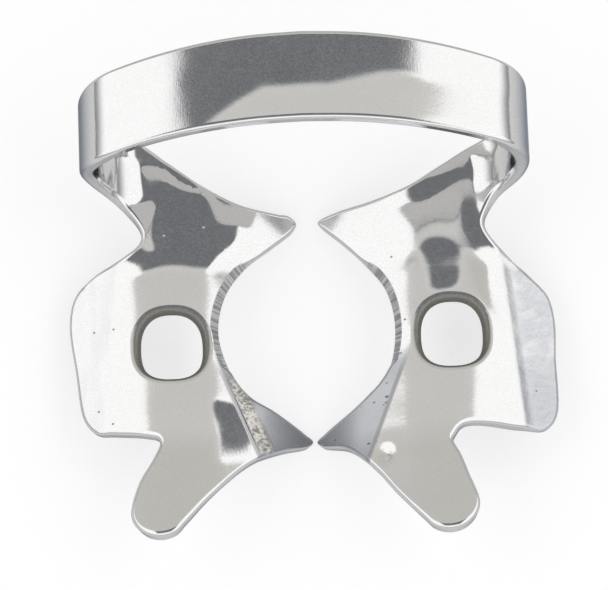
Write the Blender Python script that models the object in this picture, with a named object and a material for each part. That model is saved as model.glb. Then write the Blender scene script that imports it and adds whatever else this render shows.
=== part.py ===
# Rubber dam clamp for a molar: one blank of spring stainless sheet, punched, then bent into shape.
# The blank lies flat first. Its own coordinates are q, along the bow from the middle of its top
# (negative on the left side), and t, from the front lobes towards the bow. Bending then carries
# every point of the flat blank to its place, and the clamp is set down on its prong tips.
import math

import bmesh
import bpy
from mathutils import Vector

MM = 0.001

# Sheet
SHEET = 0.80 * MM
EDGE_ROUND = 0.24 * MM
WING_SHEET = 0.46 * MM
TIP_SHEET = 0.46 * MM
TIP_TAPER = 2.6 * MM

# Bow, from its top down to the foot that joins it to a jaw
TOP_RADIUS = 26.0 * MM
SHOULDER_RADIUS = 2.8 * MM
CURL_RADIUS = 3.0 * MM
FOOT_X = 8.1 * MM
BOW_FRONT = 8.93 * MM
BOW_WIDTH = 4.74 * MM
FRONT_SWEEP = 0.0085 / MM
BACK_SWEEP = 0.0113 / MM

# Jaws, bent over a ridge that runs through both forceps holes
RIDGE_X = 7.2 * MM
TOOTH_ROLL = 6.0 * MM
TOOTH_SLOPE = math.radians(24)
WING_ROLL = 5.0 * MM
WING_SLOPE = math.radians(24)
WING_FLAT = math.radians(21)
WING_CREASE = ((9.7 * MM, 3.3 * MM), (10.4 * MM, -4.6 * MM))
CREASE_ROUND = 0.3 * MM
FOOT_BLEND = (3.2 * MM, 6.6 * MM)
JAW_TILT = math.radians(6)
BACK_TILT = math.radians(8)
BACK_BEND = 3.8 * MM
BACK_ROUND = 0.5 * MM
BOW_TILT = math.radians(3)
BOW_BEND = 8.6 * MM
LOBE_TILT = math.radians(6)
LOBE_BEND = -6.0 * MM
LOBE_ROUND = 0.8 * MM
FACET_TILT = math.radians(13.4)
FACET_CREASE = ((5.06 * MM, -1.3 * MM), (3.02 * MM, -6.4 * MM))
FACET_ROUND = 0.12 * MM
FACET_FADE = (-2.2 * MM, 0.2 * MM)

# Forceps holes, slightly squared
HOLE_WIDTH = 3.26 * MM
HOLE_LENGTH = 3.68 * MM
HOLE_SQUARE = 2.5
HOLE_SIDES = 32

# The two jaws are not quite mirror images. Each place is measured out from the middle, and along t.
LEFT = {
    "sign": -1,
    "foot_back": 10.45 * MM,
    "foot_front": 7.38 * MM,
    "distal_tip": (0.60 * MM, 6.68 * MM),
    "distal_blunt": 0.36 * MM,
    "bite": (4.78 * MM, 0.10 * MM),
    "bite_front": (4.25 * MM, -1.95 * MM),
    "mesial_tip": (0.16 * MM, -5.10 * MM),
    "front_middle": (3.24 * MM, -6.86 * MM),
    "flank": (5.20 * MM, -8.78 * MM),
    "lobe": (7.85 * MM, -9.70 * MM),
    "lobe_radius": 1.44 * MM,
    "front_notch": (7.80 * MM, -5.97 * MM),
    "wing_front": -5.50 * MM,
    "wing_rise": 0.56 * MM,
    "wing_taper": 0.62 * MM,
    "wing_reach": 12.32 * MM,
    "wing_back": 2.76 * MM,
    "notch": (8.52 * MM, 5.58 * MM),
    "hole": (7.12 * MM, -0.58 * MM),
}
RIGHT = {
    "sign": 1,
    "foot_back": 9.58 * MM,
    "foot_front": 6.92 * MM,
    "distal_tip": (0.66 * MM, 6.66 * MM),
    "distal_blunt": 0.18 * MM,
    "bite": (4.40 * MM, 0.20 * MM),
    "bite_front": (4.10 * MM, -1.85 * MM),
    "mesial_tip": (0.24 * MM, -5.14 * MM),
    "front_middle": (3.18 * MM, -7.58 * MM),
    "flank": (4.14 * MM, -8.98 * MM),
    "lobe": (6.68 * MM, -9.80 * MM),
    "lobe_radius": 1.50 * MM,
    "front_notch": (7.02 * MM, -6.32 * MM),
    "wing_front": -5.50 * MM,
    "wing_rise": 0.0 * MM,
    "wing_taper": 0.10 * MM,
    "wing_reach": 12.52 * MM,
    "wing_back": 1.96 * MM,
    "notch": (9.14 * MM, 5.62 * MM),
    "hole": (7.22 * MM, -0.40 * MM),
}

# Lesser points of a jaw's outline, as steps (s, t) from its main points
FOOT_BACK_STEPS = ((1.9 * MM, 0.65 * MM), (0.3 * MM, 0.0 * MM))
DISTAL_BACK = ((1.1 * MM, 0.71), (2.7 * MM, 0.40))
DISTAL_STEPS = ((2.9 * MM, 0.68 * MM), (1.0 * MM, 0.40 * MM))
DISTAL_BLUNTING = ((1.0, 1.0), (0.0, 0.0), (0.55, -1.35))
DISTAL_FRONT_STEPS = ((1.30 * MM, -1.50 * MM),)
BITE_STEPS = ((-1.45 * MM, 3.80 * MM), (-0.38 * MM, 2.10 * MM), (0.0 * MM, 0.0 * MM))
BITE_FRONT_STEPS = ((0.0 * MM, 0.0 * MM), (-0.55 * MM, -0.85 * MM), (-1.07 * MM, -1.32 * MM))
MESIAL_STEPS = (
    (2.00 * MM, 1.34 * MM),
    (0.42 * MM, 0.36 * MM),
    (0.0 * MM, -0.04 * MM),
    (0.22 * MM, -0.38 * MM),
    (1.50 * MM, -0.88 * MM),
)
LOBE_BACK_STEPS = ((1.02 * MM, 1.60 * MM),)
FRONT_NOTCH_STEPS = ((0.35 * MM, -0.85 * MM), (0.0 * MM, 0.0 * MM), (0.12 * MM, 0.30 * MM))
WING_FRONT_START = 0.60 * MM
WING_FRONT_RUN = 2.10 * MM
WING_FRONT_SHARE = 0.70
WING_CORNER_STEPS = ((-0.70 * MM, 0.0 * MM), (-0.06 * MM, 0.80 * MM))
WING_SIDE_T = -1.40 * MM
WING_SIDE_SHARE = 0.45
WING_BACK_STEPS = ((0.0 * MM, -1.40 * MM), (-0.30 * MM, 0.0 * MM), (-1.10 * MM, 0.92 * MM))
WING_SHOULDER_STEPS = ((-0.48 * MM, 0.14 * MM),)
NOTCH_STEPS = ((0.14 * MM, -0.48 * MM), (0.0 * MM, 0.0 * MM), (0.26 * MM, 0.60 * MM))
FOOT_FRONT_STEPS = ((1.9 * MM, 0.0 * MM), (3.5 * MM, 0.52 * MM))

# Fineness of the solid
LOBE_TURNS = [math.radians(turn) for turn in (208, 238, 268, 298, 328, 358)]
ROUND_PARTS = 2
TIP_ROOM = 0.8
TIP_FLANK = 0.28
TIP_REACH = 1.2 * MM
CURVE_TURN = math.radians(14)
CURVE_STEP = 1.1 * MM
SPAN_PARTS = 16
BEND_TURN = math.radians(11)
JAW_STEP = 1.5 * MM
TOP_PARTS = 7
SNAP = 0.03 * MM
SLOPE_STEP = 0.002 * MM
BOW_PARTS = 4

# Steel's look
STEEL_COLOUR = (0.72, 0.71, 0.69, 1)
STEEL_ROUGHNESS = 0.12
SHARP_TURN = math.radians(32)

# Where the bow's profile changes from one bend to the next
SIDE_X = FOOT_X + CURL_RADIUS
TOP_HALF_TURN = math.asin((SIDE_X - SHOULDER_RADIUS) / (TOP_RADIUS - SHOULDER_RADIUS))
CURL_LENGTH = CURL_RADIUS * math.pi / 2
SHOULDER_LENGTH = SHOULDER_RADIUS * (math.pi / 2 - TOP_HALF_TURN)
TOP_LENGTH = TOP_RADIUS * TOP_HALF_TURN
CURL_END = FOOT_X + CURL_LENGTH
SHOULDER_END = CURL_END + SHOULDER_LENGTH
HALF_LENGTH = SHOULDER_END + TOP_LENGTH


def clear_scene():
    for old in list(bpy.data.objects):
        bpy.data.objects.remove(old, do_unlink=True)


def smooth_step(low, high, value):
    share = min(1.0, max(0.0, (value - low) / (high - low)))
    return share * share * (3 - 2 * share)


def soft_ramp(distance, half_round):
    # Zero before the bend line, the distance past it beyond, with a round change between.
    if distance <= -half_round:
        return 0.0
    if distance >= half_round:
        return distance
    return (distance + half_round) ** 2 / (4 * half_round)


def roll_drop(distance, radius, slope):
    # How far a sheet has dropped at a distance from the ridge: an arc, then a straight fall.
    reach = radius * math.sin(slope)
    if distance <= 0:
        return 0.0
    if distance <= reach:
        return radius - math.sqrt(radius * radius - distance * distance)
    return radius * (1 - math.cos(slope)) + (distance - reach) * math.tan(slope)


def beyond_line(line, s, t):
    # Distance past a line on the side of the tooth, where s is smaller.
    (ax, at), (bx, bt) = line
    length = math.hypot(bx - ax, bt - at)
    return ((s - ax) * (bt - at) - (t - at) * (bx - ax)) / length


def bow_profile(s):
    # Foot, curl, shoulder and top arc as one chain of tangent arcs, as (x, height over the foot).
    if s <= FOOT_X:
        return s, 0.0
    rest = s - FOOT_X
    if rest <= CURL_LENGTH:
        turn = rest / CURL_RADIUS
        return FOOT_X + CURL_RADIUS * math.sin(turn), CURL_RADIUS * (1 - math.cos(turn))
    rest -= CURL_LENGTH
    if rest <= SHOULDER_LENGTH:
        turn = rest / SHOULDER_RADIUS
        x = SIDE_X - SHOULDER_RADIUS * (1 - math.cos(turn))
        return x, CURL_RADIUS + SHOULDER_RADIUS * math.sin(turn)
    lean = TOP_HALF_TURN - (rest - SHOULDER_LENGTH) / TOP_RADIUS
    start = CURL_RADIUS + SHOULDER_RADIUS * math.cos(TOP_HALF_TURN)
    return TOP_RADIUS * math.sin(lean), start + TOP_RADIUS * (math.cos(lean) - math.cos(TOP_HALF_TURN))


def middle_of_sheet(s, t):
    # Middle of the bent sheet on the right side, s measured from the mouth outwards.
    if s < RIDGE_X:
        x = s
        z = -roll_drop(RIDGE_X - s, TOOTH_ROLL, TOOTH_SLOPE)
    else:
        past_crease = -beyond_line(WING_CREASE, s, t)
        wing = -roll_drop(s - RIDGE_X, WING_ROLL, WING_SLOPE)
        wing += soft_ramp(past_crease, CREASE_ROUND) * (math.tan(WING_SLOPE) - math.tan(WING_FLAT))
        bow_x, bow_z = bow_profile(s)
        share = smooth_step(*FOOT_BLEND, t)
        x = s + (bow_x - s) * share
        z = wing + (bow_z - wing) * share
    z -= t * math.tan(JAW_TILT)
    z += soft_ramp(t - BACK_BEND, BACK_ROUND) * math.tan(BACK_TILT)
    z -= soft_ramp(t - BOW_BEND, BACK_ROUND) * math.tan(BOW_TILT)
    z += soft_ramp(LOBE_BEND - t, LOBE_ROUND) * math.tan(LOBE_TILT)
    on_facet = 1 - smooth_step(*FACET_FADE, t)
    z -= on_facet * soft_ramp(beyond_line(FACET_CREASE, s, t), FACET_ROUND) * math.tan(FACET_TILT)
    return Vector((x, t, z))


def thickness(s, t):
    wing = smooth_step(0, 2 * CREASE_ROUND, -beyond_line(WING_CREASE, s, t))
    wing *= 1 - smooth_step(*FOOT_BLEND, t)
    tip = 1 - smooth_step(0, TIP_TAPER, s)
    return SHEET - (SHEET - WING_SHEET) * wing - (SHEET - TIP_SHEET) * tip


def bend(point):
    # Carries a point (q, t, w) of the flat blank to its place; w runs across the sheet.
    q, t, w = point
    s = HALF_LENGTH - abs(q)
    along = middle_of_sheet(s + SLOPE_STEP, t) - middle_of_sheet(s - SLOPE_STEP, t)
    across = middle_of_sheet(s, t + SLOPE_STEP) - middle_of_sheet(s, t - SLOPE_STEP)
    place = middle_of_sheet(s, t) + along.cross(across).normalized() * (w * thickness(s, t) / SHEET)
    if q < 0:
        place.x = -place.x
    return place


def bow_edge(end, middle_t, sweep):
    # One edge of the bow, from the middle of its top to the given end: it sweeps forwards.
    runs = [(HALF_LENGTH - end) * part / BOW_PARTS for part in range(BOW_PARTS + 1)]
    return [(HALF_LENGTH - run, middle_t - sweep * run * run) for run in runs]


def steps_from(point, steps):
    return [(point[0] + step_s, point[1] + step_t) for step_s, step_t in steps]


def jaw_outline(jaw):
    # One half of the blank's outline, from the top of the bow round the jaw and back, as (s, t).
    back = bow_edge(CURL_END, BOW_FRONT + BOW_WIDTH, BACK_SWEEP)
    front = bow_edge((CURL_END + SHOULDER_END) / 2, BOW_FRONT, FRONT_SWEEP)[::-1]
    tip_t = jaw["distal_tip"][1]
    foot_rise = jaw["foot_back"] - tip_t
    blunt = jaw["distal_blunt"]
    prongs = [
        *steps_from((FOOT_X, jaw["foot_back"]), FOOT_BACK_STEPS),
        *[(FOOT_X - run, tip_t + share * foot_rise) for run, share in DISTAL_BACK],
        *steps_from(jaw["distal_tip"], DISTAL_STEPS),
        *steps_from(jaw["distal_tip"], [(s * blunt, t * blunt) for s, t in DISTAL_BLUNTING]),
        *steps_from(jaw["distal_tip"], DISTAL_FRONT_STEPS),
        *steps_from(jaw["bite"], BITE_STEPS),
        *steps_from(jaw["bite_front"], BITE_FRONT_STEPS),
        *steps_from(jaw["mesial_tip"], MESIAL_STEPS),
    ]
    radius = jaw["lobe_radius"]
    lobe = [
        jaw["front_middle"],
        jaw["flank"],
        *steps_from(jaw["lobe"], [(radius * math.cos(turn), radius * math.sin(turn)) for turn in LOBE_TURNS]),
        *steps_from(jaw["lobe"], LOBE_BACK_STEPS),
        *steps_from(jaw["front_notch"], FRONT_NOTCH_STEPS),
    ]
    reach = jaw["wing_reach"]
    wing_front = jaw["wing_front"]
    rise = jaw["wing_rise"]
    wing_back = (reach, jaw["wing_back"])
    shoulder = [(a + b) / 2 for a, b in zip(wing_back, jaw["notch"])]
    wing = [
        (jaw["front_notch"][0] + WING_FRONT_START, wing_front),
        (reach - WING_FRONT_RUN, wing_front + WING_FRONT_SHARE * rise),
        *steps_from((reach - jaw["wing_taper"], wing_front + rise), WING_CORNER_STEPS),
        (reach - jaw["wing_taper"] * WING_SIDE_SHARE, WING_SIDE_T),
        *steps_from(wing_back, WING_BACK_STEPS),
        *steps_from(shoulder, WING_SHOULDER_STEPS),
        *steps_from(jaw["notch"], NOTCH_STEPS),
        *steps_from((FOOT_X, jaw["foot_front"]), FOOT_FRONT_STEPS),
    ]
    return smooth_curve(back + prongs + lobe + wing + front)


def knot_slope(before, here, after, first, second):
    # Slope of a centripetal curve at a point, from its neighbours and the root distances to them.
    if first == 0:
        return (after - here) / second
    if second == 0:
        return (here - before) / first
    return (here - before) / first - (after - before) / (first + second) + (after - here) / second


def smooth_curve(points):
    # A centripetal curve through the points, kept only as fine as its turns need.
    ends = [points[0], *points, points[-1]]
    dense = [points[0]]
    for a, b, c, d in zip(ends, ends[1:], ends[2:], ends[3:]):
        first, pull, last = (math.sqrt(math.dist(m, n)) for m, n in ((a, b), (b, c), (c, d)))
        leave = [pull * knot_slope(a[i], b[i], c[i], first, pull) for i in (0, 1)]
        reach = [pull * knot_slope(b[i], c[i], d[i], pull, last) for i in (0, 1)]
        for part in range(1, SPAN_PARTS + 1):
            u = part / SPAN_PARTS
            dense.append(tuple(between(b[i], c[i], leave[i], reach[i], u) for i in (0, 1)))
    kept = [dense[0]]
    turned = 0.0
    run = 0.0
    for before, here, after in zip(dense, dense[1:], dense[2:]):
        first = math.atan2(here[1] - before[1], here[0] - before[0])
        second = math.atan2(after[1] - here[1], after[0] - here[0])
        turned += abs((second - first + math.pi) % math.tau - math.pi)
        run += math.dist(before, here)
        if turned > CURVE_TURN or run > CURVE_STEP:
            kept.append(here)
            turned = 0.0
            run = 0.0
    if math.dist(kept[-1], dense[-1]) < 0.3 * CURVE_STEP:
        kept.pop()
    kept.append(dense[-1])
    return kept


def between(start, end, leave, reach, u):
    # Cubic from start to end with a given slope at each.
    near = (2 * u - 3) * u * u
    return (1 + near) * start - near * end + u * (1 - u) * ((1 - u) * leave - u * reach)


def blank_outline():
    # The whole blank's outline, with the sheet on the left hand of its direction.
    right = [(HALF_LENGTH - s, t) for s, t in jaw_outline(RIGHT)]
    left = [(s - HALF_LENGTH, t) for s, t in jaw_outline(LEFT)]
    return left + right[-2:0:-1]


def hole_outline(jaw):
    # A slightly squared round hole, with the sheet on the left hand of its direction.
    x, middle_t = jaw["hole"]
    middle = jaw["sign"] * (HALF_LENGTH - x)
    points = []
    for side in range(HOLE_SIDES):
        turn = -math.tau * side / HOLE_SIDES
        c = math.cos(turn)
        k = math.sin(turn)
        reach = (abs(c) ** HOLE_SQUARE + abs(k) ** HOLE_SQUARE) ** (-1 / HOLE_SQUARE)
        points.append((middle + HOLE_WIDTH / 2 * reach * c, middle_t + HOLE_LENGTH / 2 * reach * k))
    return points


def edge_widths(loop):
    # Room for the rounded edge at each point: less where the outline turns sharply outwards.
    count = len(loop)
    room = []
    for i in range(count):
        a, b, c = loop[i - 1], loop[i], loop[(i + 1) % count]
        cross = (b[0] - a[0]) * (c[1] - b[1]) - (b[1] - a[1]) * (c[0] - b[0])
        sides = math.dist(a, b) * math.dist(b, c) * math.dist(a, c)
        room.append(TIP_ROOM * sides / (2 * cross) if cross > 0 else EDGE_ROUND)
    widths = []
    for i in range(count):
        width = min(EDGE_ROUND, room[i])
        for way in (1, -1):
            run = 0.0
            k = i
            while run < TIP_REACH:
                following = (k + way) % count
                run += math.dist(loop[k], loop[following])
                k = following
                width = min(width, room[k] + TIP_FLANK * run)
        widths.append(width)
    return widths


def inward(loop, i):
    # Unit vector into the sheet at a corner of the outline, lengthened to keep an even width.
    a, b, c = Vector(loop[i - 1]), Vector(loop[i]), Vector(loop[(i + 1) % len(loop)])
    first = (b - a).normalized()
    second = (c - b).normalized()
    mean = (first + second).normalized()
    return Vector((-mean.y, mean.x)) / max(0.5, mean.dot(first))


def rim_levels():
    # Share of the edge width to move in, and share of the half thickness, across the rounded edge.
    upper = []
    for part in range(ROUND_PARTS + 1):
        turn = math.pi / 2 * part / ROUND_PARTS
        upper.append((1 - math.cos(turn), math.sin(turn)))
    return [(share, -rise) for share, rise in reversed(upper)] + upper


def add_rim(flat, loop):
    # The rounded wall round one outline. Returns the lowest and the highest ring of edges.
    widths = edge_widths(loop)
    rings = []
    for share, rise in rim_levels():
        ring = []
        for i, point in enumerate(loop):
            width = widths[i]
            place = Vector(point) + inward(loop, i) * (width * share)
            height = math.copysign(SHEET / 2 - width + width * abs(rise), rise) if rise else 0.0
            ring.append(flat.verts.new((place.x, place.y, height)))
        rings.append(ring)
    for low, high in zip(rings, rings[1:]):
        for i in range(len(loop)):
            k = (i + 1) % len(loop)
            flat.faces.new((low[i], low[k], high[k], high[i]))
    return [
        [flat.edges.get((ring[i - 1], ring[i])) for i in range(len(loop))]
        for ring in (rings[0], rings[-1])
    ]


def bend_stations():
    # Distances from the mouth at which the sheet is cut so that it can bend there.
    stations = [RIDGE_X - part * JAW_STEP for part in range(int(RIDGE_X / JAW_STEP) + 1)]
    curl_parts = math.ceil(math.pi / 2 / BEND_TURN)
    shoulder_parts = math.ceil((math.pi / 2 - TOP_HALF_TURN) / BEND_TURN)
    stations += [FOOT_X + CURL_LENGTH * part / curl_parts for part in range(curl_parts)]
    stations += [CURL_END + SHOULDER_LENGTH * part / shoulder_parts for part in range(shoulder_parts)]
    stations += [SHOULDER_END + TOP_LENGTH * part / TOP_PARTS for part in range(TOP_PARTS)]
    return stations


def cut(flat, point, across, inside=None):
    # Cuts the faces whose middle is inside the region along a line through the point.
    faces = [face for face in flat.faces if inside is None or inside(face.calc_center_median())]
    geometry = set(faces)
    for face in faces:
        geometry.update(face.edges)
        geometry.update(face.verts)
    bmesh.ops.bisect_plane(
        flat, geom=list(geometry), dist=SNAP, plane_co=(*point, 0), plane_no=(*across, 0)
    )


def cut_along(flat, line, sign, shift, inside):
    # A cut along a crease given as two (s, t) points, moved sideways by shift.
    (ax, at), (bx, bt) = line
    across = Vector((bt - at, bx - ax)).normalized()
    start = Vector((HALF_LENGTH - ax, at)) + across * shift
    cut(flat, (sign * start.x, start.y), (sign * across.x, across.y), inside)


def cut_for_bending(flat):
    blend_end = FOOT_BLEND[1]
    lowest = min(jaw["lobe"][1] - jaw["lobe_radius"] for jaw in (LEFT, RIGHT))
    rows = math.ceil((blend_end - lowest) / JAW_STEP)
    for row in range(rows):
        cut(flat, (0, blend_end + row * (lowest - blend_end) / rows), (0, 1))
    for sign in (-1, 1):
        def on_bow_side(middle, s):
            return sign * middle.x > 0 and HALF_LENGTH - sign * middle.x > s

        def on_tooth_side(middle, s):
            return HALF_LENGTH - sign * middle.x < s

        for station in bend_stations():
            cut(
                flat, (sign * (HALF_LENGTH - station), 0), (1, 0),
                lambda middle: sign * middle.x > 0,
            )
        for shift in (-FACET_ROUND, FACET_ROUND):
            cut_along(
                flat, FACET_CREASE, sign, shift,
                lambda middle: on_tooth_side(middle, RIDGE_X) and middle.y < FACET_FADE[1],
            )
        for shift in (-CREASE_ROUND, 0, CREASE_ROUND, 2 * CREASE_ROUND):
            cut_along(
                flat, WING_CREASE, sign, -shift,
                lambda middle: on_bow_side(middle, RIDGE_X) and middle.y < blend_end,
            )


def make_blank():
    flat = bmesh.new()
    low = []
    high = []
    for loop in (blank_outline(), hole_outline(LEFT), hole_outline(RIGHT)):
        low_ring, high_ring = add_rim(flat, loop)
        low += low_ring
        high += high_ring
    bmesh.ops.triangle_fill(flat, use_beauty=True, edges=low, normal=(0, 0, -1))
    bmesh.ops.triangle_fill(flat, use_beauty=True, edges=high, normal=(0, 0, 1))
    bmesh.ops.recalc_face_normals(flat, faces=flat.faces)
    cut_for_bending(flat)
    return flat


def steel():
    material = bpy.data.materials.new("polished_steel")
    material.use_nodes = True
    shader = material.node_tree.nodes["Principled BSDF"]
    shader.inputs["Base Color"].default_value = STEEL_COLOUR
    shader.inputs["Metallic"].default_value = 1.0
    shader.inputs["Roughness"].default_value = STEEL_ROUGHNESS
    return material


def make_clamp():
    clamp = make_blank()
    for vertex in clamp.verts:
        vertex.co = bend(vertex.co)
    bmesh.ops.triangulate(clamp, faces=clamp.faces, quad_method="BEAUTY", ngon_method="BEAUTY")
    bmesh.ops.reverse_faces(clamp, faces=clamp.faces)
    low = Vector([min(vertex.co[i] for vertex in clamp.verts) for i in range(3)])
    high = Vector([max(vertex.co[i] for vertex in clamp.verts) for i in range(3)])
    stand = Vector(((low.x + high.x) / 2, (low.y + high.y) / 2, low.z))
    bmesh.ops.translate(clamp, verts=clamp.verts, vec=-stand)
    mesh = bpy.data.meshes.new("clamp")
    clamp.to_mesh(mesh)
    clamp.free()
    mesh.shade_smooth()
    mesh.set_sharp_from_angle(angle=SHARP_TURN)
    mesh.materials.append(steel())
    body = bpy.data.objects.new("clamp", mesh)
    bpy.context.scene.collection.objects.link(body)
    return body


clear_scene()
make_clamp()
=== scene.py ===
import math

import bpy
import numpy as np
from mathutils import Matrix, Vector
from mathutils.geometry import delaunay_2d_cdt
from mathutils.kdtree import KDTree

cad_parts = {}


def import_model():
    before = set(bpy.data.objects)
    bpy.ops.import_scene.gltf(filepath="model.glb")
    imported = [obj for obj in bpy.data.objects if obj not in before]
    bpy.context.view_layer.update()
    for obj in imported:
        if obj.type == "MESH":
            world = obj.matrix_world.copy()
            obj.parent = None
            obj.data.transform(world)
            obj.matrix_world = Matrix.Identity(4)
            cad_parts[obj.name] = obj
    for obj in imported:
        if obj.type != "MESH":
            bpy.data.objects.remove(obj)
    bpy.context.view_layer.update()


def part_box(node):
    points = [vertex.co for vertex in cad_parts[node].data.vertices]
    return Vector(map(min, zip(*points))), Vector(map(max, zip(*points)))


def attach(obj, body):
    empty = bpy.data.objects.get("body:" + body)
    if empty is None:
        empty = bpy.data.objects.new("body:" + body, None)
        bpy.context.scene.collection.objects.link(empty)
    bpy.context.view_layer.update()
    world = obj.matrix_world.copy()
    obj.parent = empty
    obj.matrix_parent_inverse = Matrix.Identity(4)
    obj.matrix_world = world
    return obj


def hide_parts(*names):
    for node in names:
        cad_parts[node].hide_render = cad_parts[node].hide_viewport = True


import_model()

mm = 0.001

# The clamp is worked out flat first, in millimetres: q runs along the bow from the middle of its
# top, t from the front lobes towards the bow and w across the sheet. Then every point is bent to
# its place. s is the distance from the mouth outwards, the same way on both sides.

sheet = dict(
    thick=0.80, edgeRound=0.24, wingThick=0.46, tipThick=0.46, tipTaper=2.6,
    leftStep=(-0.6, 1.8), rightStep=(-0.1, 0.8),
)

bow = dict(
    topRadius=26.0, shoulderRadius=2.8, curlRadius=3.0, footX=8.1,
    front=8.93, width=4.74, frontSweep=0.0085, backSweep=0.0113,
)

jaw = dict(
    ridgeX=7.2, toothRoll=6.0, toothSlope=24, wingRoll=5.0, wingSlope=24, wingFlat=21,
    wingCrease=((9.7, 3.3), (10.4, -4.6)), creaseRound=0.3, footBlend=(3.2, 6.6),
    tilt=6, backTilt=8, backBend=3.8, backRound=0.5, bowTilt=3, bowBend=8.6,
    lobeTilt=6, lobeBend=-6.0, lobeRound=0.8,
    facetTilt=13.4, facetCrease=((5.06, -1.3), (3.02, -6.4)), facetRound=0.12, facetFade=(-2.2, 0.2),
)

hole = dict(width=3.26, length=3.68, square=2.5, sides=128, rimRound=0.36)

left = dict(
    sign=-1, footBack=10.45, footFront=7.38, distalTip=(0.60, 6.68), distalBlunt=0.36,
    bite=(4.78, 0.10), biteFront=(4.25, -1.95), mesialTip=(0.16, -5.10), frontMiddle=(3.24, -6.86),
    flank=(5.20, -8.78), lobe=(7.85, -9.70), lobeRadius=1.44, frontNotch=(7.80, -5.97),
    wingFront=-5.50, wingRise=0.56,
    wingTaper=0.62, wingReach=12.32, wingBack=2.76, notch=(8.52, 5.58), hole=(7.12, -0.58),
    bevelSpan=(-1.6, 3.4), bevelWidth=0.46,
)
right = dict(
    sign=1, footBack=9.58, footFront=6.92, distalTip=(0.66, 6.66), distalBlunt=0.18,
    bite=(4.40, 0.20), biteFront=(4.10, -1.85), mesialTip=(0.24, -5.14), frontMiddle=(3.18, -7.58),
    flank=(4.14, -8.98), lobe=(6.68, -9.80), lobeRadius=1.50, frontNotch=(7.02, -6.32),
    wingFront=-5.50, wingRise=0.0,
    wingTaper=0.10, wingReach=12.52, wingBack=1.96, notch=(9.14, 5.62), hole=(7.22, -0.40),
    bevelSpan=(-1.6, 3.2), bevelWidth=0.42,
)

# Lesser points of a jaw's outline, as steps (s, t) from its main points
lesser = dict(
    footBack=((1.9, 0.65), (0.3, 0)), distalBack=((1.1, 0.71), (2.7, 0.40)),
    distal=((2.9, 0.68), (1.0, 0.40)), blunting=((1, 1), (0, 0), (0.55, -1.35)),
    distalFront=((1.30, -1.50),), bite=((-1.45, 3.80), (-0.38, 2.10), (0, 0)),
    biteFront=((0, 0), (-0.55, -0.85), (-1.07, -1.32)),
    mesial=((2.00, 1.34), (0.42, 0.36), (0, -0.04), (0.22, -0.38)), mesialFront=((1.50, -0.88),),
    lobeTurns=range(208, 359, 30), lobeBack=((1.02, 1.60),),
    frontNotch=((0.35, -0.85), (0, 0), (0.12, 0.30)), wingStart=0.60, wingRun=2.10, wingShare=0.70,
    corner=((-0.70, 0), (-0.06, 0.80)), sideT=-1.40, sideShare=0.45,
    wingBack=((0, -1.40), (-0.30, 0), (-1.10, 0.92)), shoulder=((-0.48, 0.14),),
    notch=((0.14, -0.48), (0, 0), (0.26, 0.60)), footFront=((1.9, 0), (3.5, 0.52)),
)

fineness = dict(
    grid=0.24, rowShare=0.866, rimClear=0.55, creaseStep=0.12, creaseClear=0.1, weld=1e-6,
    bowParts=4, edgeStep=0.13, edgeTurn=5, lastStep=0.3, spanParts=40, slopeStep=0.002,
    tipRoom=0.8, tipFlank=0.28, tipReach=1.2,
)

# Where the bow's profile changes from one bend to the next
sideX = bow["footX"] + bow["curlRadius"]
topHalfTurn = math.asin((sideX - bow["shoulderRadius"]) / (bow["topRadius"] - bow["shoulderRadius"]))
curlEnd = bow["footX"] + bow["curlRadius"] * math.pi / 2
shoulderEnd = curlEnd + bow["shoulderRadius"] * (math.pi / 2 - topHalfTurn)
halfLength = shoulderEnd + bow["topRadius"] * topHalfTurn


def smoothStep(low, high, value):
    share = np.clip((value - low) / (high - low), 0, 1)
    return share * share * (3 - 2 * share)


def softRamp(distance, halfRound):
    rounded = (distance + halfRound) ** 2 / (4 * halfRound)
    return np.where(distance <= -halfRound, 0.0, np.where(distance >= halfRound, distance, rounded))


def rollDrop(distance, radius, slope):
    # how far the sheet has dropped past a ridge: an arc, then a straight fall
    turn = math.radians(slope)
    reach = radius * math.sin(turn)
    arc = radius - np.sqrt(radius ** 2 - np.clip(distance, 0, reach) ** 2)
    return arc + np.maximum(distance - reach, 0) * math.tan(turn)


def beyondLine(line, s, t):
    (ax, at), (bx, bt) = line
    return ((s - ax) * (bt - at) - (t - at) * (bx - ax)) / math.hypot(bx - ax, bt - at)


def bowProfile(s):
    # foot, curl, shoulder and top arc as one chain of tangent arcs: x, and height over the foot
    top, shoulder, curl = bow["topRadius"], bow["shoulderRadius"], bow["curlRadius"]
    curlTurn = (s - bow["footX"]) / curl
    shoulderTurn = (s - curlEnd) / shoulder
    lean = topHalfTurn - (s - shoulderEnd) / top
    start = curl + shoulder * math.cos(topHalfTurn)
    zones = [s <= bow["footX"], s <= curlEnd, s <= shoulderEnd]
    x = np.select(
        zones, [s, bow["footX"] + curl * np.sin(curlTurn), sideX - shoulder * (1 - np.cos(shoulderTurn))],
        top * np.sin(lean),
    )
    z = np.select(
        zones, [0 * s, curl * (1 - np.cos(curlTurn)), curl + shoulder * np.sin(shoulderTurn)],
        start + top * (np.cos(lean) - math.cos(topHalfTurn)),
    )
    return x, z


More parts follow.
